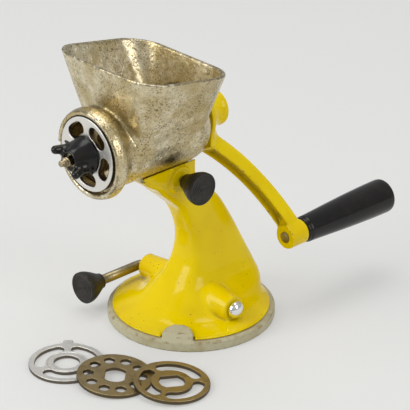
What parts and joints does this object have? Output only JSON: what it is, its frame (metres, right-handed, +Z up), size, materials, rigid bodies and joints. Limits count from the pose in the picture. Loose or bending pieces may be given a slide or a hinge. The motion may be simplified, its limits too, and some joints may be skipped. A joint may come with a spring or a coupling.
{
  "type": "hand-cranked meat mincer",
  "caption": "Hand-cranked meat mincer on a tapering suction-base stand, with a flared hopper, feed worm, winged nut, bowed crank with a turning grip, and spare cutter discs lying beside it",
  "frame": {"origin": "middle of the pad's underside, on the table", "axes": "+Z up; the barrel lies along X with the outlet facing -X and the crank at +X; +Y is the lever's side"},
  "size_m": [0.281, 0.1527, 0.2055],
  "materials": {
    "pad_rubber": "matt aged rubber",
    "yellow_paint": "gloss enamel with small chips",
    "plain_steel": "dull plated steel",
    "black_moulding": "satin moulded black",
    "bright_plate": "bright plated dome",
    "tinned_iron": "tinned casting, worn and mottled",
    "thread_brass": "tarnished brass",
    "cutter_steel": "ground bright steel",
    "stained_steel": "brown stained steel",
    "black_gloss": "polished black"
  },
  "bodies": {
    "base": {"stand": "yellow_paint", "suction_pad": "pad_rubber", "barrel_casting": "tinned_iron", "thrust_washer": "thread_brass", "fixed_cutter": "cutter_steel"},
    "worm": {"feed_worm": "tinned_iron", "worm_stud": "thread_brass", "cutting_plate": "cutter_steel", "crank_arm": "yellow_paint", "crank_washer": "plain_steel", "crank_screw": "plain_steel", "grip_spindle": "plain_steel"},
    "handle": {"grip": "black_gloss"},
    "lever": {"lever_shaft": "plain_steel", "lever_knob": "black_moulding", "shaft_cap": "bright_plate", "eccentric_cam": "plain_steel"},
    "yoke": {"pull_yoke": "plain_steel"},
    "clamp": {"clamp_screw": "plain_steel"},
    "clamp_head": {"clamp_knob": "black_moulding"},
    "insert": {"nut_insert": "thread_brass"},
    "nut": {"wing_nut": "black_moulding"},
    "spare_one": {"spare_fixed_cutter": "cutter_steel"},
    "spare_two": {"spare_medium_plate": "stained_steel"},
    "spare_three": {"spare_coarse_plate": "stained_steel"}
  },
  "joints": [
    {"name": "crank_turn", "type": "hinge", "parent": "base", "child": "worm", "pos_m": [0, 0, 0.147], "axis": [1, 0, 0], "continuous": true},
    {"name": "grip_spin", "type": "hinge", "parent": "worm", "child": "handle", "pos_m": [0.104, -0.04309, 0.05665], "axis": [1, 0, 0], "continuous": true},
    {"name": "lever_turn", "type": "hinge", "parent": "base", "child": "lever", "pos_m": [0, 0, 0.0187], "axis": [0, 1, 0], "range_deg": [0, 180]},
    {"name": "yoke_lift", "type": "slide", "parent": "base", "child": "yoke", "axis": [0, 0, 1], "range_m": [0, 0.003]},
    {"name": "clamp_travel", "type": "slide", "parent": "base", "child": "clamp", "axis": [0, -1, 0], "range_m": [0, 0.0025]},
    {"name": "clamp_turn", "type": "hinge", "parent": "clamp", "child": "clamp_head", "pos_m": [-0.024, -0.0285, 0.114], "axis": [0, -1, 0], "range_deg": [0, 720]},
    {"name": "nut_travel", "type": "slide", "parent": "worm", "child": "insert", "axis": [-1, 0, 0], "range_m": [0, 0.0025]},
    {"name": "nut_turn", "type": "hinge", "parent": "insert", "child": "nut", "pos_m": [-0.097, 0, 0.147], "axis": [-1, 0, 0], "range_deg": [0, 720]},
    {"name": "spare_one_lift", "type": "slide", "parent": "base", "child": "spare_one", "axis": [0, 0, 1], "range_m": [0, 0.04]},
    {"name": "spare_two_lift", "type": "slide", "parent": "spare_one", "child": "spare_two", "axis": [0, 0, 1], "range_m": [0, 0.04]},
    {"name": "spare_three_lift", "type": "slide", "parent": "spare_two", "child": "spare_three", "axis": [0, 0, 1], "range_m": [0, 0.04]}
  ],
  "couplings": [
    {"joint": "yoke_lift", "follows": "lever_turn", "m_per_rad": 0.00095493},
    {"joint": "clamp_travel", "follows": "clamp_turn", "m_per_rad": 0.00019894},
    {"joint": "nut_travel", "follows": "nut_turn", "m_per_rad": 0.00019894}
  ]
}
